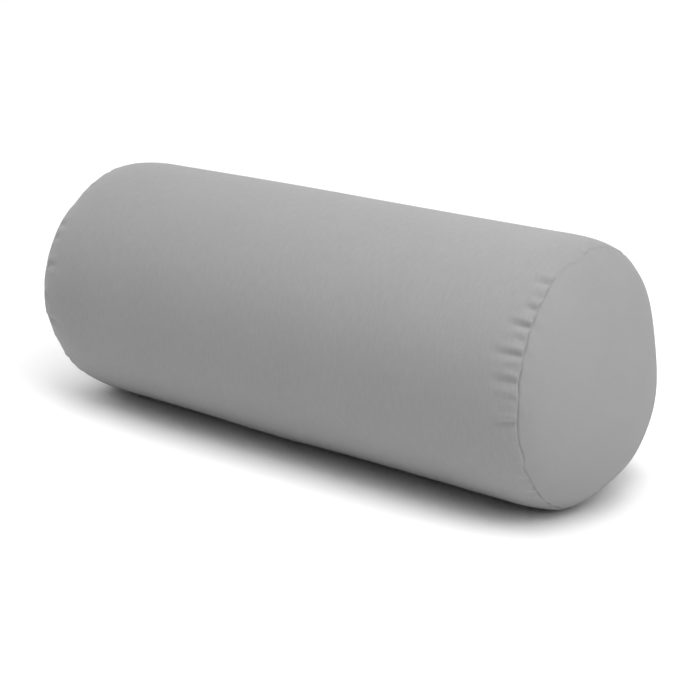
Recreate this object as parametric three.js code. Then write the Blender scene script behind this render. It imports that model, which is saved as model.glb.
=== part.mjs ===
// A round bolster cushion lying on its side. A woven tube is filled, gathered on to two round end panels and sewn
// to them, so each end seam draws the roll in and puckers the tube beside it.
// Millimetres, +Z up, +X along the roll towards its nearer end, base on z = 0 under the middle of the roll.
import * as THREE from 'three';

// The roll: 8 inches across and about 18.5 inches from seam to seam.
const rollRadius = 101.6;
const seamToSeam = 472;

// The drawn-in ends: the seams' radius, the length over which the tube rounds in to them and how far it has turned
// there in degrees, how far an end panel bulges past its seam, and how much it is cut above its widest ring.
const seamRadius = 95.7;
const shoulderLength = 36;
const shoulderTurn = 76;
const endCrown = 33;
const rimShare = 0.06;

// The cloth of an end panel, the gap to the filling behind it, and the rounding of its sewn edge.
const clothThickness = 2;
const clearance = 0.3;
const edgeRounding = 0.9;

// How the roll settles: its axis above the floor, the radius that joins the flat underside to the barrel, and how
// far the two ends lean in at their tops, as a share of the height above the axis.
const axisHeight = 96.5;
const underRadius = 60;
const nearLean = 0.049;
const farLean = 0.012;

// A pucker starts at the seam and is at its deepest about this far from it. Its groove is spread a little, because
// the skin has one step round the roll every few millimetres.
const puckerRise = 2.5;
const puckerSpread = 1.4;

// Steps round the roll and along it. Shoulder steps are shares of the shoulder's turn, from the barrel to the seam,
// and crown turns are degrees from the seam towards the pole.
const tubeColumns = 180;
const panelColumns = 90;
const barrelSteps = 3;
const shoulderSteps = [0.22, 0.42, 0.58, 0.71, 0.82, 0.92, 1];
const crownTurns = [0, 12, 26, 42, 60, 78];

const clothGrey = 0xa6a6a6;
const clothRoughness = 0.95;

// Puckers beside the seams. Each row is one pucker: degrees round from the top towards the front, then its length
// along the roll, its depth and its half width.
const puckerColumns = ['angle', 'length', 'depth', 'width'];
const nearPuckers = readTable(puckerColumns, [
  [6, 9, 0.4, 2.9],
  [19, 8, 0.4, 2.8],
  [31.5, 16, 1.2, 3.2],
  [39.5, 7, 0.6, 2.4],
  [45.6, 10, 1.0, 2.6],
  [53.3, 19, 1.9, 2.7],
  [59.6, 10, 0.7, 2.3],
  [65.6, 26, 2.0, 2.7],
  [76.6, 24, 2.0, 2.9],
  [83.7, 19, 0.9, 2.4],
  [93.2, 27, 1.8, 2.8],
  [104, 8, 0.4, 2.4],
  [113, 7, 0.4, 2.4],
  [122.6, 12, 1.1, 2.7],
  [132, 13, 1.0, 2.7],
  [149, 17, 1.5, 3.2],
  [162, 13, 1.2, 3.0],
  [177, 20, 1.7, 3.2],
  [188, 12, 1.0, 2.8],
  [204, 21, 1.9, 3.2],
  [217, 16, 1.6, 3.0],
  [226, 10, 0.9, 2.6],
  [243, 23, 2.0, 3.2],
  [258, 18, 1.7, 2.9],
  [270, 24, 2.0, 3.1],
  [282, 12, 1.1, 2.7],
  [299, 19, 1.7, 3.0],
  [312, 14, 1.3, 2.9],
  [327, 10, 0.8, 3.0],
  [346, 9, 0.5, 3.0],
]);
const farPuckers = readTable(puckerColumns, [
  [11, 10, 0.6, 3.0],
  [27, 13, 1.1, 3.0],
  [38, 9, 0.8, 2.6],
  [52, 14, 1.6, 2.8],
  [59.5, 13, 1.4, 2.6],
  [74, 20, 1.8, 3.1],
  [88, 16, 1.5, 2.9],
  [101, 22, 2.0, 3.1],
  [110, 11, 1.0, 2.6],
  [128, 17, 1.6, 3.0],
  [140, 13, 1.2, 2.8],
  [157, 22, 1.9, 3.1],
  [169, 12, 1.1, 2.8],
  [185, 18, 1.6, 3.0],
  [199, 23, 2.0, 3.1],
  [208, 10, 0.8, 2.6],
  [224, 16, 1.5, 2.9],
  [239, 20, 1.9, 3.0],
  [252, 13, 1.1, 2.8],
  [266, 22, 1.9, 3.1],
  [277, 12, 1.0, 2.6],
  [293, 19, 1.8, 3.0],
  [306, 15, 1.4, 2.9],
  [321, 21, 1.7, 3.1],
  [333, 9, 0.7, 2.8],
  [350, 12, 0.8, 3.0],
]);

// Soft pushes, where the filling is fuller or slacker. Each row has its centre at a place along the roll from its
// middle, an angle and a distance off the axis, then how far it reaches along the roll and across it, and how far it
// moves the cloth out from the axis and endways. The largest lifts the underside of the near end off the floor.
const pushColumns = ['along', 'angle', 'offAxis', 'reachAlong', 'reachAcross', 'out', 'endways'];
const pushes = readTable(pushColumns, [
  [-70, 344, 95, 110, 35, 0.8, 0],
  [-25, 152, 95, 60, 28, 1.5, 0],
  [224, 333, 95, 26, 22, 0.8, 0],
  [240, 279, 95, 36, 38, -7.5, 0],
  [240, 243, 95, 20, 20, 4.4, 0],
  [241, 188, 95, 26, 27, -10.5, 0],
  [262, 175, 45, 30, 38, 0, 4],
  [-244, 34, 95, 30, 24, -1.5, 0],
  [-244, 88, 95, 26, 30, 0.5, -0.8],
  [-240, 118, 95, 22, 16, -1.2, 0],
]);

function readTable(columns, rows) {
  return rows.map((row) => Object.fromEntries(columns.map((name, i) => [name, row[i]])));
}

function radians(degrees) {
  return THREE.MathUtils.degToRad(degrees);
}

// The angle between two directions round the roll, from -180 to 180 degrees.
function turnBetween(a, b) {
  return THREE.MathUtils.euclideanModulo(a - b + 180, 360) - 180;
}

// How deep the gathers beside a seam are at one point: each pucker is a soft groove that rises from the seam,
// runs along the roll and fades out at its own length.
function gatherDepth(puckers, angle, fromSeam) {
  let depth = 0;
  for (const pucker of puckers) {
    const aside = radians(turnBetween(angle, pucker.angle)) * seamRadius;
    if (fromSeam < pucker.length) {
      const rise = 1 - Math.exp(-fromSeam / puckerRise);
      const fade = Math.cos((Math.PI / 2) * (fromSeam / pucker.length)) ** 2;
      depth += pucker.depth * rise * fade * Math.exp(-((aside / (puckerSpread * pucker.width)) ** 2));
    }
  }
  return depth;
}

// Distance from the axis to a section's edge once it has settled: a flat strip on the floor, an arc that leaves it
// smoothly and meets the round, then the round itself. Sections too small to reach the floor stay round.
function settledRadius(radius, angle) {
  if (radius <= axisHeight) {
    return radius;
  }
  const fromDown = radians(Math.abs(turnBetween(angle, 180)));
  const halfStrip = Math.sqrt((radius - axisHeight) * (radius + axisHeight - 2 * underRadius));
  const arcDrop = axisHeight - underRadius;
  if (fromDown <= Math.atan2(halfStrip, axisHeight)) {
    return axisHeight / Math.cos(fromDown);
  }
  if (fromDown >= Math.atan2(halfStrip, arcDrop)) {
    return radius;
  }
  const along = halfStrip * Math.sin(fromDown) + arcDrop * Math.cos(fromDown);
  return along + Math.sqrt(along ** 2 - halfStrip ** 2 - arcDrop ** 2 + underRadius ** 2);
}

// The direction out from the axis at an angle, from 0 at the top through 90 at the front to 180 underneath.
function outwards(angle) {
  return new THREE.Vector3(0, -Math.sin(radians(angle)), Math.cos(radians(angle)));
}

// A point moved by all pushes, each as strong as a bell curve of the distance from its centre, and kept above the
// floor.
function pushed(point) {
  const moved = point.clone();
  for (const push of pushes) {
    const out = outwards(push.angle);
    const gap = point.clone().sub(new THREE.Vector3(push.along, 0, axisHeight)).addScaledVector(out, -push.offAxis);
    const away = (gap.x / push.reachAlong) ** 2 + (gap.y ** 2 + gap.z ** 2) / push.reachAcross ** 2;
    moved.addScaledVector(out, push.out * Math.exp(-away));
    moved.x += push.endways * Math.exp(-away);
  }
  moved.z = Math.max(moved.z, 0);
  return moved;
}

// A point of the roll at a place along it, a radius and an angle.
function rollPoint(x, radius, angle) {
  const out = outwards(angle).multiplyScalar(settledRadius(radius, angle));
  const share = x / (seamToSeam / 2);
  const lean = (share > 0 ? -nearLean : farLean) * out.z * share ** 2;
  return pushed(new THREE.Vector3(x + lean, out.y, axisHeight + out.z));
}

// A ring of points round the roll. The section gives x and radius at each angle.
function ring(columns, section) {
  return Array.from({ length: columns }, (_, i) => {
    const angle = (360 * i) / columns;
    const { x, radius } = section(angle);
    return rollPoint(x, radius, angle);
  });
}

// Joins rings, and poles that are rings of one point, into a closed skin whose faces look outwards.
function skin(rings) {
  const points = rings.flat();
  const faces = [];
  let start = 0;
  for (let k = 0; k + 1 < rings.length; k++) {
    joinRings(faces, start, rings[k].length, start + rings[k].length, rings[k + 1].length);
    start += rings[k].length;
  }
  const geometry = new THREE.BufferGeometry().setFromPoints(points);
  geometry.setIndex(faces);
  geometry.computeVertexNormals();
  return geometry;
}

// Triangles between two neighbouring rings, which may differ in their number of points. Each step goes on along the
// ring that is behind, and a pole is never stepped along.
function joinRings(faces, startA, countA, startB, countB) {
  let a = 0;
  let b = 0;
  const stepsA = countA > 1 ? countA : 0;
  const stepsB = countB > 1 ? countB : 0;
  while (a < stepsA || b < stepsB) {
    const pointA = startA + (a % countA);
    const pointB = startB + (b % countB);
    if (b >= stepsB || (a < stepsA && (a + 0.5) / stepsA <= (b + 0.5) / stepsB)) {
      a += 1;
      faces.push(pointA, startA + (a % countA), pointB);
    } else {
      b += 1;
      faces.push(pointA, startB + (b % countB), pointB);
    }
  }
}

// One ring of a shoulder, an arc of an ellipse from the barrel in to the seam. Puckers push it in along its normal.
function shoulderRing(side, puckers, step) {
  const turn = radians(step * shoulderTurn);
  const halfAlong = shoulderLength / Math.sin(radians(shoulderTurn));
  const halfOut = (rollRadius - seamRadius) / (1 - Math.cos(radians(shoulderTurn)));
  const x = seamToSeam / 2 - shoulderLength + halfAlong * Math.sin(turn);
  const radius = rollRadius - halfOut * (1 - Math.cos(turn));
  const normal = new THREE.Vector2(Math.sin(turn) / halfAlong, Math.cos(turn) / halfOut).normalize();
  const fromSeam = Math.hypot(seamToSeam / 2 - x, radius - seamRadius);
  return ring(tubeColumns, (angle) => {
    const depth = gatherDepth(puckers, angle, fromSeam);
    return { x: side * (x - depth * normal.x), radius: radius - depth * normal.y };
  });
}

// How far a filled end stands out, from 0 at the seam to 1 at its pole: the cap of an ellipsoid, cut a little above
// its widest ring.
function dome(share) {
  const low = Math.sqrt(rimShare);
  return (Math.sqrt(1 - share ** 2 + rimShare) - low) / (Math.sqrt(1 + rimShare) - low);
}

// The crown of an end, a cap that lies a given depth under the outer face of the end panel. It starts a little way
// out from the seam and ends in a pole.
function crownRings(side, depth, start) {
  const rings = crownTurns.map((turn) => {
    const share = Math.cos(radians(turn));
    const x = seamToSeam / 2 + start + (endCrown - depth - start) * dome(share);
    return ring(panelColumns, () => ({ x: side * x, radius: (seamRadius - depth) * share }));
  });
  const pole = rollPoint(side * (seamToSeam / 2 + endCrown - depth), 0, 0);
  return [...rings, [pole]];
}

// Half of the filled tube from the barrel's first ring out to its pole: barrel, shoulder, and the filled crown that
// the end panel covers.
function tubeHalf(side, puckers) {
  const barrelHalf = seamToSeam / 2 - shoulderLength;
  const barrel = Array.from({ length: barrelSteps }, (_, i) => {
    const x = (side * barrelHalf * (i + 1)) / barrelSteps;
    return ring(tubeColumns, () => ({ x, radius: rollRadius }));
  });
  const shoulder = shoulderSteps.map((step) => shoulderRing(side, puckers, step));
  return [...barrel, ...shoulder, ...crownRings(side, clothThickness + clearance, 0)];
}

function filledTube() {
  const middle = ring(tubeColumns, () => ({ x: 0, radius: rollRadius }));
  return skin([...tubeHalf(-1, farPuckers).reverse(), middle, ...tubeHalf(1, nearPuckers)]);
}

// A round end panel: its inner face from the pole out, its rounded sewn edge, and its outer face back to the pole.
function endPanel(side) {
  const inner = crownRings(side, clothThickness, clearance);
  const outer = crownRings(side, 0, clearance + edgeRounding);
  const edge = ring(panelColumns, () => ({
    x: side * (seamToSeam / 2 + clearance),
    radius: seamRadius - edgeRounding,
  }));
  const path = [...inner.reverse(), edge, ...outer];
  return skin(side > 0 ? path : path.reverse());
}

function clothPiece(name, geometry) {
  const material = new THREE.MeshStandardMaterial({ color: clothGrey, roughness: clothRoughness, metalness: 0 });
  const mesh = new THREE.Mesh(geometry, material);
  mesh.name = name;
  return mesh;
}

const bolster = new THREE.Group();
bolster.add(clothPiece('filled_tube', filledTube()));
bolster.add(clothPiece('end_panel_near', endPanel(1)));
bolster.add(clothPiece('end_panel_far', endPanel(-1)));

// The two ends differ a little, so the roll is centred on its own box.
const middle = new THREE.Box3().setFromObject(bolster).getCenter(new THREE.Vector3());
bolster.position.set(-middle.x, -middle.y, 0);

export default bolster;
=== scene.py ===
# %% [markdown]
# A round bolster cushion, step by step.
# The cushion is a woven tube, filled and sewn to a round panel at each end. This script dresses the
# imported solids: it makes the cloth of the tube and of both end panels as fine surfaces, gives them a
# woven finish, and sets the roll on a pale floor in soft studio light.

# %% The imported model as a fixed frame
import bpy
import numpy as np
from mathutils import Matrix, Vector


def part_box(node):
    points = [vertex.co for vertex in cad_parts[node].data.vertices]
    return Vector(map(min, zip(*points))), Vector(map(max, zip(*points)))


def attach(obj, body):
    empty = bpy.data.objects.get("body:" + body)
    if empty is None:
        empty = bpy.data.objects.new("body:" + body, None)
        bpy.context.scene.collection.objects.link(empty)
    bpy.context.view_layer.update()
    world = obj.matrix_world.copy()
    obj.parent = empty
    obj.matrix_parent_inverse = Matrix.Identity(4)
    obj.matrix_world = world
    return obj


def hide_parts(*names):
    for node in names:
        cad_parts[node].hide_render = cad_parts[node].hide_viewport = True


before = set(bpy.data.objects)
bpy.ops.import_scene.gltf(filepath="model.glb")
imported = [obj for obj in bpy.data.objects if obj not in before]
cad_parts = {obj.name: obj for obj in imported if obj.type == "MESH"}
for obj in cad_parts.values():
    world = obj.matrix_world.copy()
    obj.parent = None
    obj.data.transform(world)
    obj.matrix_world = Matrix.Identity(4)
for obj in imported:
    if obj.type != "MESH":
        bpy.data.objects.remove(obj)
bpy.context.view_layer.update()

# %% [markdown]
# Sizes come first. They are the driving sizes of the roll, the same ones that its solids are made from.
# The roll is a little lopsided, as filled things are, so its middle isn't quite the middle of its box.
# It is found from the solid of the far end panel, whose pole stands half the seams' distance and one
# crown away from it.

# %% Sizes of the roll
MM = 0.001
roll_radius = 101.6 * MM
axis_height = 96.5 * MM
seam_to_seam = 472 * MM
half_length = seam_to_seam / 2
seam_radius = 95.7 * MM
end_crown = 33 * MM
cloth_thickness = 2 * MM
clearance = 0.3 * MM
far_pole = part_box("end_panel_far")[0][0]
middle = far_pole + end_crown + half_length
print(f"the roll is {seam_to_seam + 2 * end_crown:.3f} m long, its middle at x = {middle:.4f} m")

# %% [markdown]
# A camera and a lamp both look down their own -Z axis, so both can be aimed in the same way: their
# backs are turned along a direction. A direction is given by a turn and a rise in degrees, because a
# walk round the roll is easier to picture than three coordinates.

# %% Placing and aiming things
def placed(name, data):
    """A new object with this mesh, camera or light, linked into the scene."""
    made = bpy.data.objects.new(name, data)
    bpy.context.scene.collection.objects.link(made)
    return made


def direction(turn, rise):
    """A vector of length 1: the turn runs from the front towards the near end, the rise up from there."""
    turn, rise = np.radians(turn), np.radians(rise)
    return Vector((np.sin(turn) * np.cos(rise), -np.cos(turn) * np.cos(rise), np.sin(rise)))


def turn_back_along(thing, back):
    """Turns a camera or a lamp so that its back points along a vector."""
    thing.rotation_mode = "QUATERNION"
    thing.rotation_quaternion = back.to_track_quat("Z", "Y")


print("a turn of 45 degrees points along", [round(part, 3) for part in direction(45, 0)])

# %% [markdown]
# The camera stands in front of the near end, a little above the roll, and looks down its length. It
# aims at a point beside the roll's middle and a little below it, as the photograph is framed. A lens of
# 85 mm keeps the long roll from looking stretched.

# %% Camera
camera_turn = 38.47
camera_rise = 17.14
camera_distance = 1.341
camera_lens_mm = 85.1
sensor_width_mm = 36
aim_along = 16.6 * MM
aim_down = 22.1 * MM

roll_centre = Vector((middle, 0, axis_height))
camera_data = bpy.data.cameras.new("camera")
camera_data.lens = camera_lens_mm
camera_data.sensor_width = sensor_width_mm
camera = placed("camera", camera_data)
bpy.context.scene.camera = camera
camera.location = roll_centre + direction(camera_turn, camera_rise) * camera_distance
aim = roll_centre + Vector((aim_along, 0, -aim_down))
turn_back_along(camera, camera.location - aim)
print("camera at", tuple(round(c, 3) for c in camera.location))

# %% [markdown]
# Where the tube is sewn to a smaller round panel, its cloth is too wide and gathers into puckers. They
# are what makes the seam look sewn, so they are listed one by one: each row of a table is one pucker.
# They could be left to a cloth simulation, but then they would fall anywhere, and not where this
# cushion has them. The back of the near seam and most of the far one aren't seen, so their rows are
# only likely ones.
#
# A row holds the pucker's angle round the seam in degrees, from the top towards the front, its length,
# depth and width in millimetres, and its slant in degrees.

# %% Puckers beside the two seams
PUCKER_COLUMNS = ("angle", "length", "depth", "width", "slant")
near_puckers = [
    (6, 9, 0.4, 2.9, 0),
    (19, 8, 0.4, 2.8, 0),
    (31.5, 17, 2.0, 3.2, 2),
    (39.5, 10, 1.1, 2.6, 0),
    (45.6, 13, 1.7, 2.7, 0),
    (53.3, 20, 2.2, 2.7, 1),
    (59.6, 12, 1.0, 2.4, 0),
    (65.6, 26, 2.0, 2.7, 1.2),
    (76.6, 24, 2.0, 2.9, 1),
    (83.7, 19, 0.9, 2.4, 0.5),
    (93.2, 27, 1.8, 2.8, 2.8),
    (104, 8, 0.4, 2.4, 0),
    (113, 7, 0.4, 2.4, 0),
    (122.6, 12, 1.1, 2.7, 0),
    (132, 13, 1.0, 2.7, 1),
    (149, 17, 1.5, 3.2, 0),
    (162, 13, 1.2, 3.0, 1),
    (177, 20, 1.7, 3.2, -1),
    (188, 12, 1.0, 2.8, 0),
    (204, 21, 1.9, 3.2, 2),
    (217, 16, 1.6, 3.0, -1),
    (226, 10, 0.9, 2.6, 0),
    (243, 23, 2.0, 3.2, -2),
    (258, 18, 1.7, 2.9, 1),
    (270, 24, 2.0, 3.1, 0),
    (282, 12, 1.1, 2.7, -1),
    (299, 19, 1.7, 3.0, 1),
    (312, 14, 1.3, 2.9, 0),
    (327, 10, 0.8, 3.0, -1),
    (346, 9, 0.5, 3.0, 0),
]
far_puckers = [
    (11, 10, 0.6, 3.0, 0),
    (27, 13, 1.1, 3.0, 1),
    (38, 9, 0.8, 2.6, 0),
    (52, 14, 1.6, 2.8, 1),
    (59.5, 13, 1.4, 2.6, 0),
    (74, 20, 1.8, 3.1, -1),
    (88, 16, 1.5, 2.9, 1),
    (101, 22, 2.0, 3.1, 0),
    (110, 11, 1.0, 2.6, -1),
    (128, 17, 1.6, 3.0, 1),
    (140, 13, 1.2, 2.8, 0),
    (157, 22, 1.9, 3.1, 2),
    (169, 12, 1.1, 2.8, -1),
    (185, 18, 1.6, 3.0, 0),
    (199, 23, 2.0, 3.1, 1),
    (208, 10, 0.8, 2.6, 0),
    (224, 16, 1.5, 2.9, -2),
    (239, 20, 1.9, 3.0, 1),
    (252, 13, 1.1, 2.8, 0),
    (266, 22, 1.9, 3.1, -1),
    (277, 12, 1.0, 2.6, 1),
    (293, 19, 1.8, 3.0, 0),
    (306, 15, 1.4, 2.9, 1),
    (321, 21, 1.7, 3.1, -1),
    (333, 9, 0.7, 2.8, 0),
    (350, 12, 0.8, 3.0, 0),
]
print(len(near_puckers), "puckers at the near seam,", len(far_puckers), "at the far seam")

# %% [markdown]
# Between the puckers a sewn seam is never quite smooth. Nobody would place those small gathers one by
# one, so they come from a seeded random generator, which draws the same ones each time.

# %% Small gathers between the puckers
gather_count = 64
gather_ranges = {
    "angle": (0, 360),
    "length": (3, 7),
    "depth": (0.15, 0.4),
    "width": (1.8, 2.8),
    "slant": (-1, 1),
}
near_gather_seed = 5
far_gather_seed = 3


def small_gathers(seed):
    """Rows like those of the puckers, each column drawn evenly from its own range."""
    rng = np.random.default_rng(seed)
    return list(zip(*[rng.uniform(*gather_ranges[column], gather_count) for column in PUCKER_COLUMNS]))


near_rows = near_puckers + small_gathers(near_gather_seed)
far_rows = far_puckers + small_gathers(far_gather_seed)
print(len(near_rows), "and", len(far_rows), "rows with the small gathers")

# %% [markdown]
# A pucker isn't a plain dent. The cloth that its groove takes up has to go somewhere, so it stands
# beside the groove as two lips that catch the light. The upper lip is the higher one, because the
# filling sinks.

# %% How deep a pucker draws the cloth in
groove_power = 1.5
groove_rise = 2.2 * MM
groove_start = 0.75
groove_widening = 0.5
upper_lip_height = 0.55
upper_lip_offset = 1.8
lower_lip_height = 0.25
lower_lip_offset = 2.0
lip_rise = 0.8 * MM
fade_power = 1.4


def bell(distance, reach):
    """A bell curve exp(-(d / reach)^2): 1 where the distance is 0, and falling off on both sides."""
    return np.exp(-((distance / reach) ** 2))


def gather_depth(rows, angle, from_seam):
    """How deep the cloth is drawn in, in metres, at an angle in degrees and a distance from the seam.

    Across a pucker the groove falls off as exp(-|s / w|^1.5), where s is the distance round the seam
    and w widens away from it, and the two lips are bell curves of the width w. Along it the groove
    rises over a few millimetres as 1 - exp(-d / rise), the lips over less, and both fade out as
    cos(pi/2 d / length)^1.4.
    """
    depth = np.zeros(np.broadcast(angle, from_seam).shape)
    for row in rows:
        pucker = dict(zip(PUCKER_COLUMNS, row))
        gone = np.clip(from_seam / (pucker["length"] * MM), 0, 1)
        centre = pucker["angle"] + pucker["slant"] * gone
        round_it = np.radians((angle - centre + 180) % 360 - 180) * seam_radius
        width = pucker["width"] * MM * (groove_start + groove_widening * gone)
        upper = np.where(centre < 180, -1, 1)
        groove = np.exp(-(np.abs(round_it / width) ** groove_power))
        upper_lip = upper_lip_height * bell(round_it - upper * upper_lip_offset * width, width)
        lower_lip = lower_lip_height * bell(round_it + upper * lower_lip_offset * width, width)
        grooved = groove * (1 - np.exp(-from_seam / groove_rise))
        lipped = (upper_lip + lower_lip) * (1 - np.exp(-from_seam / lip_rise))
        depth += pucker["depth"] * MM * (grooved - lipped) * np.cos(np.pi / 2 * gone) ** fade_power
    return depth


probe = gather_depth(near_rows, np.arange(0, 360, 0.5), 5 * MM)
print(f"5 mm from the near seam: grooves to {probe.max() / MM:.2f} mm, lips to {-probe.min() / MM:.2f} mm")

# %% [markdown]
# A filled roll settles under its own weight. Its section isn't a full circle: a flat strip lies on the
# floor, an arc of a smaller radius leaves the floor smoothly, and then comes the round. A flat cut
# through a circle would be simpler, but it leaves a sharp edge that cloth never has.

# %% The settled section
under_radius = 60 * MM
least_cosine = 0.1


def settled_radius(radius, angle):
    """Distance from the axis to the section's edge at an angle in degrees, 0 at the top and 180 underneath.

    The flat strip gives height / cos(a). The arc of radius p, centred c across and k down, gives the
    far root of the line from the axis: m + sqrt(m^2 - c^2 - k^2 + p^2), with m = c sin(a) + k cos(a).
    The rest is the radius itself. The least cosine only keeps the strip's formula finite where it isn't
    used.
    """
    down = np.abs(np.radians((angle % 360) - 180))
    over = np.maximum(radius - axis_height, 0)
    across = np.sqrt(over * np.maximum(radius + axis_height - 2 * under_radius, 0))
    drop = axis_height - under_radius
    along = across * np.sin(down) + drop * np.cos(down)
    arc = along + np.sqrt(np.maximum(along**2 - across**2 - drop**2 + under_radius**2, 0))
    strip = axis_height / np.maximum(np.cos(down), least_cosine)
    settled = np.where(down <= np.arctan2(across, axis_height), strip, arc)
    settled = np.where(down >= np.arctan2(across, drop), radius, settled)
    return np.where(over > 0, settled, radius)


under_barrel = settled_radius(roll_radius, 180.0)
print(f"the barrel's underside is {under_barrel:.4f} m from the axis, its top {roll_radius:.4f} m")

# %% [markdown]
# The filling isn't even either. Each row of the table below is one soft push: somewhere the roll is
# fuller, and elsewhere it is slack. The largest two flatten the back of the near end and lift its
# underside, which doesn't quite reach the floor. Noise would make the roll uneven too, but not in the
# places where this one is.
#
# A row holds the place of the push's centre, along the roll from its middle in millimetres, round it in
# degrees and off its axis in millimetres, then its reach along and round the roll, and how far it moves
# the cloth out and endways, all in millimetres.

# %% Soft pushes of the filling
SWELL_COLUMNS = ("along", "angle", "off_axis", "reach_along", "reach_round", "out", "endways")
swells = [
    (-70, 344, 95, 110, 35, 0.8, 0),
    (-25, 152, 95, 60, 28, 1.5, 0),
    (224, 333, 95, 26, 22, 0.9, 0),
    (235, 10, 95, 13, 12, -2.7, 2.8),
    (240, 243, 92, 30, 30, 3.4, 0),
    (240, 279, 95, 36, 38, -7.8, 0),
    (241, 188, 95, 26, 30, -7.0, 0),
    (250, 350, 92, 12, 14, -1.3, 0),
    (258, 318, 78, 22, 26, 2.6, 0),
    (262, 175, 45, 30, 38, 0, 4.0),
    (-244, 34, 95, 30, 24, -1.5, 0),
    (-244, 88, 95, 26, 30, 0.5, -0.8),
    (-240, 118, 95, 22, 16, -1.2, 0),
]


def swollen(points):
    """Points moved by the soft pushes.

    The strength of a push is exp(-d^2), where d^2 is (distance along / reach_along)^2 and
    (distance across the roll / reach_round)^2 together. It moves points out from the axis at its own
    angle, and endways. No point that was on or above the floor goes under it.
    """
    moved = points.copy()
    for row in swells:
        push = dict(zip(SWELL_COLUMNS, row))
        turned = np.radians(push["angle"])
        outward = np.array([0, -np.sin(turned), np.cos(turned)])
        centre = np.array([middle + push["along"] * MM, 0, axis_height]) + outward * push["off_axis"] * MM
        gap = points - centre
        squared_along = (gap[..., 0] / (push["reach_along"] * MM)) ** 2
        squared_across = (gap[..., 1] ** 2 + gap[..., 2] ** 2) / (push["reach_round"] * MM) ** 2
        shift = outward * push["out"] * MM + np.array([push["endways"] * MM, 0, 0])
        moved += np.exp(-(squared_along + squared_across))[..., None] * shift
    moved[..., 2] = np.maximum(moved[..., 2], np.minimum(points[..., 2], 0))
    return moved


print(len(swells), "soft pushes")

# %% [markdown]
# Now any place on the cloth can be turned into a point in space. A place is a distance along the roll,
# a radius and an angle. Both ends lean, because the filling has sunk: the higher a point, the further
# the near end is drawn in, and the far end is drawn in much less. The lean grows with the square of the
# distance from the middle, so it tilts the seams and leaves the middle as it is.

# %% From a place on the cloth to a point in space
near_lean = 0.049
far_lean = 0.012


def roll_points(along, radius, angle):
    """Points at a place along the roll from its middle, a radius and an angle; both ends lean."""
    along, radius, angle = np.broadcast_arrays(along, radius, angle)
    reach = settled_radius(radius, angle)
    up = reach * np.cos(np.radians(angle))
    share = along / half_length
    lean = np.where(share > 0, -near_lean, far_lean) * up * share**2
    return swollen(np.stack([
        middle + along + lean,
        -reach * np.sin(np.radians(angle)),
        axis_height + up,
    ], axis=-1))


seam_top = roll_points(half_length, seam_radius, 0.0)
print("the near seam's highest place:", np.round(seam_top, 4))

# %% [markdown]
# Every piece of cloth here is a grid of points: rows run along its profile and columns run round the
# roll. One helper turns such a grid into a mesh with a pole at each end, so that the skin is closed,
# and gives it a UV map in metres of cloth. The weave is drawn on that map, so it follows the cloth and
# not the room.

# %% A closed skin from a grid of points
def closed_skin(name, points, poles, cloth_uv, pole_uv):
    """A mesh from points of shape (rows, columns, 3) that close round, with a pole before and one after.

    cloth_uv has shape (rows, columns + 1, 2): its last column is the first again, one turn further on.
    pole_uv holds the map's place of both poles, as two arrays of shape (columns, 2).
    """
    rows, columns = points.shape[:2]
    vertices = np.concatenate([points.reshape(-1, 3), poles])
    row, column = np.meshgrid(np.arange(rows - 1), np.arange(columns), indexing="ij")
    row, column = row.ravel(), column.ravel()
    after = (column + 1) % columns
    quads = np.stack([
        row * columns + column,
        row * columns + after,
        (row + 1) * columns + after,
        (row + 1) * columns + column,
    ], axis=1)
    first = np.arange(columns)
    second = (first + 1) % columns
    last = (rows - 1) * columns
    start_fan = np.stack([np.full(columns, rows * columns), second, first], axis=1)
    end_fan = np.stack([last + first, last + second, np.full(columns, rows * columns + 1)], axis=1)
    corners = np.concatenate([quads.ravel(), start_fan.ravel(), end_fan.ravel()])
    sides = np.concatenate([np.full(len(quads), 4), np.full(2 * columns, 3)])
    mesh = bpy.data.meshes.new(name)
    mesh.vertices.add(len(vertices))
    mesh.vertices.foreach_set("co", vertices.ravel())
    mesh.loops.add(len(corners))
    mesh.loops.foreach_set("vertex_index", corners)
    mesh.polygons.add(len(sides))
    mesh.polygons.foreach_set("loop_start", np.cumsum(sides) - sides)
    mesh.polygons.foreach_set("use_smooth", np.ones(len(sides), bool))
    quad_uv = np.stack([
        cloth_uv[row, column],
        cloth_uv[row, column + 1],
        cloth_uv[row + 1, column + 1],
        cloth_uv[row + 1, column],
    ], axis=1)
    start_uv = np.stack([pole_uv[0], cloth_uv[0, first + 1], cloth_uv[0, first]], axis=1)
    end_uv = np.stack([cloth_uv[-1, first], cloth_uv[-1, first + 1], pole_uv[1]], axis=1)
    uv = np.concatenate([quad_uv.reshape(-1, 2), start_uv.reshape(-1, 2), end_uv.reshape(-1, 2)])
    mesh.uv_layers.new(name="cloth").data.foreach_set("uv", uv.ravel())
    mesh.update()
    mesh.validate()
    print(name, "has", len(vertices), "points and", int((sides - 2).sum()), "triangles")
    return placed(name, mesh)


# %% [markdown]
# A sewn seam isn't a sharp line. The two edges dip into it together, deeper here and shallower there,
# and the line itself wanders, because the needle follows cloth that is being gathered. Both are smooth
# random curves round the seam: sums of a few waves with whole numbers of turns, so that they close. At
# the top the cloth is stretched flat over the filling, and the seam hardly dips at all.

# %% The dip and the wander of a seam
wave_count = 12
dip_depth = 0.75 * MM
dip_width = 0.8 * MM
dip_turns = (18, 70)
dip_unevenness = 0.45
dip_seeds = {1: 11, -1: 12}
flat_top_share = 0.85
flat_top_reach = 28
flat_top_fade = 5
wander_size = 0.4 * MM
wander_reach = 8 * MM
wander_turns = (7, 36)
wander_seeds = {1: 21, -1: 22}


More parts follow.
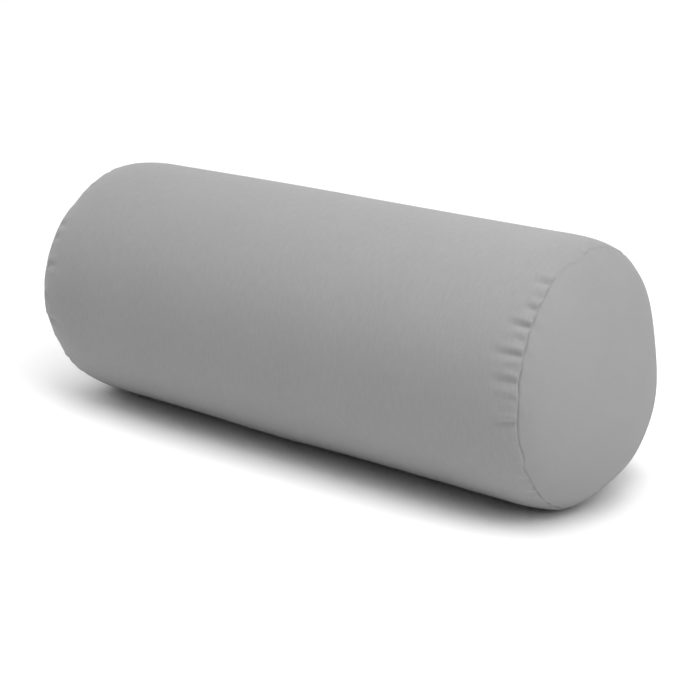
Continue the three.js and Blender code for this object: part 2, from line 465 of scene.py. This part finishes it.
def smooth_waves(angle, seed, slowest, fastest):
    """A random curve round the seam with a spread of about 1: the sum of size sin(turns a + phase)."""
    rng = np.random.default_rng(seed)
    turns = rng.integers(slowest, fastest + 1, wave_count)[:, None]
    phase = rng.uniform(0, 2 * np.pi, wave_count)[:, None]
    size = rng.uniform(0.5, 1, wave_count)[:, None]
    return (size * np.sin(turns * np.radians(angle) + phase)).sum(0) / np.sqrt((size**2).sum() / 2)


def seam_dip(angle, from_seam, side):
    """How deep both edges dip at the seam of one side, 1 for the near end and -1 for the far one.

    It is a bell curve of the distance from the seam, times 1 + unevenness tanh(waves), times a smooth
    step that takes most of it away within the flat top's reach in degrees.
    """
    uneven = 1 + dip_unevenness * np.tanh(smooth_waves(angle, dip_seeds[side], *dip_turns))
    from_top = np.abs((angle + 180) % 360 - 180)
    stretched = 1 - flat_top_share / (1 + np.exp((from_top - flat_top_reach) / flat_top_fade))
    return dip_depth * uneven * stretched * bell(from_seam, dip_width)


def seam_wander(angle, from_seam, side):
    """How far a seam lies off its circle along the roll, fading as a bell curve on both sides of it."""
    waves = smooth_waves(angle, wander_seeds[side], *wander_turns)
    return wander_size * waves * bell(from_seam, wander_reach)


round_seam = np.arange(0, 360, 0.5)
print(f"the near seam dips up to {seam_dip(round_seam, 0.0, 1).max() / MM:.2f} mm",
      f"and wanders up to {np.abs(seam_wander(round_seam, 0.0, 1)).max() / MM:.2f} mm")

# %% [markdown]
# Two curves give the roll its outline. The shoulder, where the barrel rounds in to the seam, is most of
# a quarter ellipse. The end is a low dome. Rows of points stand close together beside the seam, where
# the cloth turns sharply and the puckers are, and far apart on the plain barrel.

# %% The curves of the shoulder and of the end
shoulder_length = 36 * MM
shoulder_turn = np.radians(76)
shoulder_rows = 44
rim_share = 0.06
row_crowding = 1.5
fine_steps = 2000


def arc_lengths(across, out):
    """Running length of the line through the points (across, out), starting at 0."""
    return np.concatenate([[0], np.cumsum(np.hypot(np.diff(across), np.diff(out)))])


def shoulder_profile():
    """Rows of a shoulder from barrel to seam: place along, radius, and the outward normal's two parts.

    The arc is x = x0 + a sin t / sin T and r = R - b (1 - cos t) / (1 - cos T), with t from 0 to T. Its
    rows are spaced so that their distance from the seam grows as the 1.5th power of their number.
    """
    half_along = shoulder_length / np.sin(shoulder_turn)
    half_out = (roll_radius - seam_radius) / (1 - np.cos(shoulder_turn))
    turn = np.linspace(0, shoulder_turn, fine_steps)
    run = arc_lengths(half_along * np.sin(turn), half_out * np.cos(turn))
    wanted = run[-1] * (1 - np.linspace(1, 0, shoulder_rows) ** row_crowding)
    turn = np.interp(wanted, run, turn)
    normal = np.stack([np.sin(turn) / half_along, np.cos(turn) / half_out])
    normal /= np.linalg.norm(normal, axis=0)
    along = half_length - shoulder_length + half_along * np.sin(turn)
    radius = roll_radius - half_out * (1 - np.cos(turn))
    return along, radius, normal[0], normal[1]


def dome(share):
    """How far a filled end stands out, 0 at the seam and 1 at its pole, at a share w of the seam's radius.

    It is the cap of an ellipsoid: (sqrt(1 - w^2 + e) - sqrt(e)) / (sqrt(1 + e) - sqrt(e)). The small e
    cuts the cap a little above the ellipsoid's widest ring, so that the cloth leaves the seam at a
    slant.
    """
    low = np.sqrt(rim_share)
    return (np.sqrt(1 - share**2 + rim_share) - low) / (np.sqrt(1 + rim_share) - low)


shoulder_line = arc_lengths(*shoulder_profile()[:2])
print(f"a shoulder is {shoulder_line[-1]:.4f} m of cloth in {shoulder_rows} rows")

# %% [markdown]
# The tube panel with its filling is one closed skin: the barrel, both shoulders, and the filled crowns
# behind the end panels. It is made half by half, because each half has its own puckers. Puckers and the
# dip of the seam push the cloth in along its own normal, so that they keep their depth all the way
# round the shoulder.

# %% The filled tube
tube_columns = 640
barrel_rows = 18
crown_rows = 6


def tube_half(side, puckers):
    """Points and running lengths of half the tube, from beside its middle to the crown's last row."""
    angle = np.arange(tube_columns) * 360 / tube_columns
    along, radius, normal_along, normal_out = shoulder_profile()
    barrel = along[0] * np.linspace(0, 1, barrel_rows, endpoint=False)[1:]
    depth_under = cloth_thickness + clearance
    share = np.cos(np.linspace(0, np.pi / 2, crown_rows, endpoint=False))
    crown_along = half_length + (end_crown - depth_under) * dome(share)
    crown_radius = (seam_radius - depth_under) * share
    rows_along = np.concatenate([barrel, along, crown_along])
    rows_radius = np.concatenate([np.full(len(barrel), roll_radius), radius, crown_radius])
    push_along = np.concatenate([0 * barrel, normal_along, 0 * share])[:, None]
    push_out = np.concatenate([0 * barrel, normal_out, 0 * share])[:, None]
    from_seam = np.hypot(half_length - rows_along, rows_radius - seam_radius)[:, None]
    depth = gather_depth(puckers, angle[None, :], from_seam) + seam_dip(angle, from_seam, side)
    points = roll_points(
        side * (rows_along[:, None] - depth * push_along + seam_wander(angle, from_seam, side)),
        rows_radius[:, None] - depth * push_out,
        angle[None, :],
    )
    run = arc_lengths(np.concatenate([[0], rows_along]), np.concatenate([[roll_radius], rows_radius]))[1:]
    return points, side * run


def filled_tube():
    """The whole tube: the far half turned round, the middle ring and the near half."""
    angle = np.arange(tube_columns) * 360 / tube_columns
    far_points, far_run = tube_half(-1, far_rows)
    near_points, near_run = tube_half(1, near_rows)
    middle_ring = roll_points(np.zeros(1), roll_radius, angle)[None]
    points = np.concatenate([far_points[::-1], middle_ring, near_points])
    run = np.concatenate([far_run[::-1], [0], near_run])
    round_it = roll_radius * np.radians(np.arange(tube_columns + 1) * 360 / tube_columns)
    uv = np.stack(np.broadcast_arrays(round_it[None, :], run[:, None]), axis=-1)
    pole_reach = half_length + end_crown - cloth_thickness - clearance
    poles = roll_points(np.array([-pole_reach, pole_reach]), 0.0, 0.0)
    half_step = (round_it[1:] + round_it[:-1]) / 2
    pole_uv = [np.stack(np.broadcast_arrays(half_step, end), axis=-1) for end in (run[0], run[-1])]
    return closed_skin("tube_cloth", points, poles, uv, pole_uv)


tube = filled_tube()

# %% [markdown]
# A round end panel is a flat disc of the same cloth that the filling pushes out. It is made as a thin
# closed shell: an inner face and an outer face that meet in the seam. A plain sheet with a Solidify
# modifier would do too, but then its edge would have a wall, where a sewn edge turns in. Each tube
# pucker pulls a faint dent into the panel on its own side of the seam.

# %% The end panels
panel_columns = 320
panel_rows = 52
inner_rows = 8
seam_gap = 0.06 * MM
dent_share = 0.2
dent_length_mm = 11
dent_widening = 1.3
dent_along = 0.75
dent_inward = 0.65


def panel_profile():
    """Place along and radius of an end panel's rows, inner pole to outer one, and which are outside."""
    base = half_length + seam_gap
    inner_share = np.cos(np.linspace(np.pi / 2, 0, inner_rows + 1)[1:])
    inner_along = base + clearance + (end_crown - cloth_thickness - clearance) * dome(inner_share)
    inner_radius = (seam_radius - cloth_thickness) * inner_share
    outer_share = np.cos(np.pi / 2 * np.linspace(0, 1, panel_rows, endpoint=False) ** row_crowding)
    outer_along = base + (end_crown - seam_gap) * dome(outer_share)
    outer_radius = seam_radius * outer_share
    along = np.concatenate([inner_along, outer_along])
    radius = np.concatenate([inner_radius, outer_radius])
    outer = np.arange(len(along)) >= len(inner_along)
    return along, radius, outer


def end_panel(name, side, puckers):
    """One end panel as a closed skin. Its map is the flat disc that it is cut from, round the pole."""
    along, radius, outer = panel_profile()
    angle = np.arange(panel_columns) * 360 / panel_columns
    from_seam = np.hypot(along - half_length, radius - seam_radius)[:, None]
    dents = [
        (pucker_angle, dent_length_mm, depth, width * dent_widening, 0)
        for pucker_angle, _, depth, width, _ in puckers
    ]
    dent = dent_share * gather_depth(dents, angle[None, :], from_seam)
    dent = np.where(outer[:, None], dent + seam_dip(angle, from_seam, side), 0)
    wander = seam_wander(angle, from_seam, side)
    points = roll_points(
        side * (along[:, None] - dent_along * dent + wander),
        radius[:, None] - dent_inward * dent,
        angle[None, :],
    )
    pole_along = half_length + end_crown
    poles = roll_points(np.array([side * (pole_along - cloth_thickness), side * pole_along]), 0.0, 0.0)
    outer_from_pole = arc_lengths(along[outer][::-1], radius[outer][::-1])[::-1] + radius[-1]
    from_pole = np.concatenate([radius[~outer], outer_from_pole])
    turn = np.radians(np.arange(panel_columns + 1) * 360 / panel_columns)
    uv = np.stack([from_pole[:, None] * np.sin(turn), from_pole[:, None] * np.cos(turn)], axis=-1)
    if side < 0:
        points, uv, poles = points[::-1], uv[::-1], poles[::-1]
    return closed_skin(name, points, poles, uv, [np.zeros((panel_columns, 2))] * 2)


near_panel = end_panel("near_end_cloth", 1, near_puckers)
far_panel = end_panel("far_end_cloth", -1, far_puckers)

# %% [markdown]
# Shader maths reads best as arithmetic. One small class wraps an output socket, and each operator adds
# the Math node that does it, so that a formula in the text is a formula in the nodes.

# %% Shader sockets as expressions
class Link:
    """An output socket of a node tree, with arithmetic that adds Math nodes to the same tree."""

    def __init__(self, tree, socket=None):
        self.tree = tree
        self.socket = socket

    def node(self, kind, settings=None, values=None):
        """Adds any node: first its settings, then a value or a link for each named socket."""
        made = self.tree.nodes.new(kind)
        for name, value in (settings or {}).items():
            setattr(made, name, value)
        for name, value in (values or {}).items():
            if isinstance(value, Link):
                self.tree.links.new(value.socket, made.inputs[name])
            else:
                made.inputs[name].default_value = value
        return Link(self.tree, made.outputs[0] if made.outputs else None)

    def output(self, name):
        """Another output of the same node."""
        return Link(self.tree, self.socket.node.outputs[name])

    def maths(self, operation, *operands):
        """A Math node on its operands, or on this socket alone."""
        return self.node("ShaderNodeMath", {"operation": operation}, dict(enumerate(operands or (self,))))

    def __add__(self, other):
        return self.maths("ADD", self, other)

    def __sub__(self, other):
        return self.maths("SUBTRACT", self, other)

    def __mul__(self, other):
        return self.maths("MULTIPLY", self, other)

    def __pow__(self, other):
        return self.maths("POWER", self, other)

    def __rsub__(self, other):
        return self.maths("SUBTRACT", other, self)

    __radd__ = __add__


# %% [markdown]
# The cloth is a plain weave: each yarn goes over one and under the next. The height of the weave is a
# low hump in every cell of a checkerboard, long one way where the warp is on top and long the other way
# where the weft is. Real yarn is a little thicker here and thinner there, which shows as faint streaks
# along it. On the tube, the yarns that run round the roll are pulled tight and their streaks show most.
# The end panels are stretched both ways and look smooth, so they get a finish of their own with fainter
# streaks. A picture of cloth could be wrapped round the roll instead, but a formula stays sharp from
# close by and needs no picture.

# %% Woven grey cloth
cloth_grey = 0.291
yarn_pitch = 0.8 * MM
# Painted shade and highlight of the weave: the base colour is darker between the yarns and lighter on their
# tops.
painted_weave_shade = 0.10
weave_relief = 0.16 * MM
relief_strength = 0.6
hump_powers = (1.5, 0.5)
streak_width = 2 * MM
streak_length = 10 * MM
streak_relief = 4.0
mottles_per_metre = 22.0
mottle_strength = 0.05


def yarn_noise(place, across, along):
    """Noise around 0 on the map of the cloth, with so many lumps in a metre across and along it."""
    drawn = place.node("ShaderNodeMapping", None, {"Vector": place, "Scale": (across, along, 1.0)})
    noise = drawn.node("ShaderNodeTexNoise", {"noise_dimensions": "2D"},
                       {"Vector": drawn, "Scale": 1.0, "Detail": 3.0, "Roughness": 0.6})
    return noise - 0.5


def weave_height(place):
    """The height of the weave, from 0 to 1.

    It is |sin u|^1.5 |sin v|^0.5 where the warp is on top, which is where sin u sin v > 0, and the same
    with u and v swapped elsewhere. Both turn by pi from each yarn to the next.
    """
    long_way, short_way = hump_powers
    parts = place.node("ShaderNodeSeparateXYZ", None, {"Vector": place})
    warp = (parts.output("X") * (np.pi / yarn_pitch)).maths("SINE")
    weft = (parts.output("Y") * (np.pi / yarn_pitch)).maths("SINE")
    warp_on_top = place.maths("GREATER_THAN", warp * weft, 0.0)
    warp_size, weft_size = warp.maths("ABSOLUTE"), weft.maths("ABSOLUTE")
    over = (warp_size**long_way) * (weft_size**short_way)
    under = (warp_size**short_way) * (weft_size**long_way)
    return warp_on_top * over + (1 - warp_on_top) * under


def woven_cloth(name, warp_streaks, weft_streaks):
    """A matt grey plain weave on the map of the cloth, with a strength for the streaks of each yarn."""
    material = bpy.data.materials.new(name)
    material.use_nodes = True
    tree = material.node_tree
    tree.nodes.clear()
    place = Link(tree).node("ShaderNodeUVMap", {"uv_map": "cloth"})
    weave = weave_height(place)
    along_warp = yarn_noise(place, 1 / streak_width, 1 / streak_length)
    along_weft = yarn_noise(place, 1 / streak_length, 1 / streak_width)
    lines = along_warp * warp_streaks + along_weft * weft_streaks
    mottle = yarn_noise(place, mottles_per_metre, mottles_per_metre)
    # The weave's height paints shade into the gaps between the yarns and a highlight onto their tops; the
    # streaks and the mottle are the cloth's own tone.
    shade = 1 + lines + mottle * mottle_strength + (weave - 0.5) * painted_weave_shade
    bump = place.node("ShaderNodeBump", None, {
        "Height": weave + lines * streak_relief, "Distance": weave_relief, "Strength": relief_strength,
    })
    cloth = place.node("ShaderNodeBsdfPrincipled", None, {
        "Base Color": shade * cloth_grey, "Roughness": 0.92, "Specular IOR Level": 0.25,
        "Sheen Weight": 0.12, "Sheen Roughness": 0.5, "Normal": bump,
    })
    place.node("ShaderNodeOutputMaterial", None, {"Surface": cloth})
    print(name, "has", len(tree.nodes), "nodes")
    return material


tube.data.materials.append(woven_cloth("woven_grey_tube", warp_streaks=0.05, weft_streaks=0.15))
panel_cloth = woven_cloth("woven_grey_panel", warp_streaks=0.04, weft_streaks=0.04)
for panel in (near_panel, far_panel):
    panel.data.materials.append(panel_cloth)

# %% [markdown]
# A pale floor catches the shadow. It is far larger than the roll, so that its edge lies at the horizon.
# Above it the room is plain white for the camera alone: it gives the cloth and the floor no light, and
# all shading stays with the lamps.

# %% Floor and white room
floor_size = 60.0
floor_white = (0.95, 0.95, 0.95, 1)
floor_roughness = 0.9
edge = floor_size / 2
floor_mesh = bpy.data.meshes.new("floor")
floor_corners = [(-edge, -edge, 0), (edge, -edge, 0), (edge, edge, 0), (-edge, edge, 0)]
floor_mesh.from_pydata(floor_corners, [], [(0, 1, 2, 3)])
floor = placed("floor", floor_mesh)
floor_paint = bpy.data.materials.new("pale_floor")
floor_paint.use_nodes = True
floor_shader = floor_paint.node_tree.nodes["Principled BSDF"]
floor_shader.inputs["Base Color"].default_value = floor_white
floor_shader.inputs["Roughness"].default_value = floor_roughness
floor_mesh.materials.append(floor_paint)

world = bpy.data.worlds.new("white_room")
world.use_nodes = True
room = world.node_tree.nodes["Background"]
room.inputs["Color"].default_value = (1, 1, 1, 1)
room.inputs["Strength"].default_value = 1.0
bpy.context.scene.world = world
world.cycles_visibility.diffuse = False
world.cycles_visibility.glossy = False
bpy.context.scene.view_settings.view_transform = "Standard"
print("floor", floor_size, "m across")

# %% [markdown]
# A studio puts large soft boxes round a cushion. Suns with a wide spread act as boxes that stand far
# away: they light the whole floor evenly, so it turns plain white, and they leave a soft shadow under
# the roll. One light from above would leave the sides flat and dark, so high boxes are joined by low
# ones, which brighten the ends and the back. Two square lights close by add what a far box can't: a
# glow on the top and on the near end that fades along the roll. Turns and rises are in degrees, as the
# camera's are.

# %% Studio light
far_box_spread = 45
far_boxes = [
    ("overhead_box", 0, 88, 1.18),
    ("near_end_high_box", 90, 65, 0.47),
    ("near_end_box", 90, 40, 0.87),
    ("far_end_high_box", -90, 40, 0.76),
    ("far_end_low_box", -90, 15, 1.34),
    ("back_low_box", 210, 15, 1.15),
    ("front_low_box", -30, 15, 0.14),
]
near_box_size = 0.9
near_boxes = [
    ("top_box", (0.5, -0.3, 1.1), 6.4),
    ("right_box", (1.1, -0.3, 0.8), 1.7),
]

for name, turn, rise, strength in far_boxes:
    sun = bpy.data.lights.new(name, "SUN")
    sun.energy = strength
    sun.angle = np.radians(far_box_spread)
    turn_back_along(placed(name, sun), direction(turn, rise))
for name, place, watts in near_boxes:
    square = bpy.data.lights.new(name, "AREA")
    square.energy = watts
    square.size = near_box_size
    lamp = placed(name, square)
    lamp.location = place
    turn_back_along(lamp, Vector(place) - roll_centre)
print(len(far_boxes), "far boxes and", len(near_boxes), "near ones")

# %% [markdown]
# Each piece is tied to the frame: it rides on the root, and the solid that it stands for is hidden.
# The tube is cloth over filling.

# %% Ties to the frame
for piece, node in ((tube, "filled_tube"), (near_panel, "end_panel_near"), (far_panel, "end_panel_far")):
    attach(piece, "root")
    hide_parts(node)

# %% [markdown]
# An end panel is a sheet that is cut flat and then stretched over the filling. Its disc has to reach
# from the pole to the seam along the bulge, so it is wider than the seam's circle.

# %% An end panel's cut
panel_along, panel_radius, on_outside = panel_profile()
panel_line = arc_lengths(panel_along[on_outside], panel_radius[on_outside])[-1] + panel_radius[-1]
cut_width = 2 * panel_line
print(f"an end panel is cut {cut_width:.4f} m across")
for panel in (near_panel, far_panel):
    float(np.pi * (cut_width / 2) ** 2)
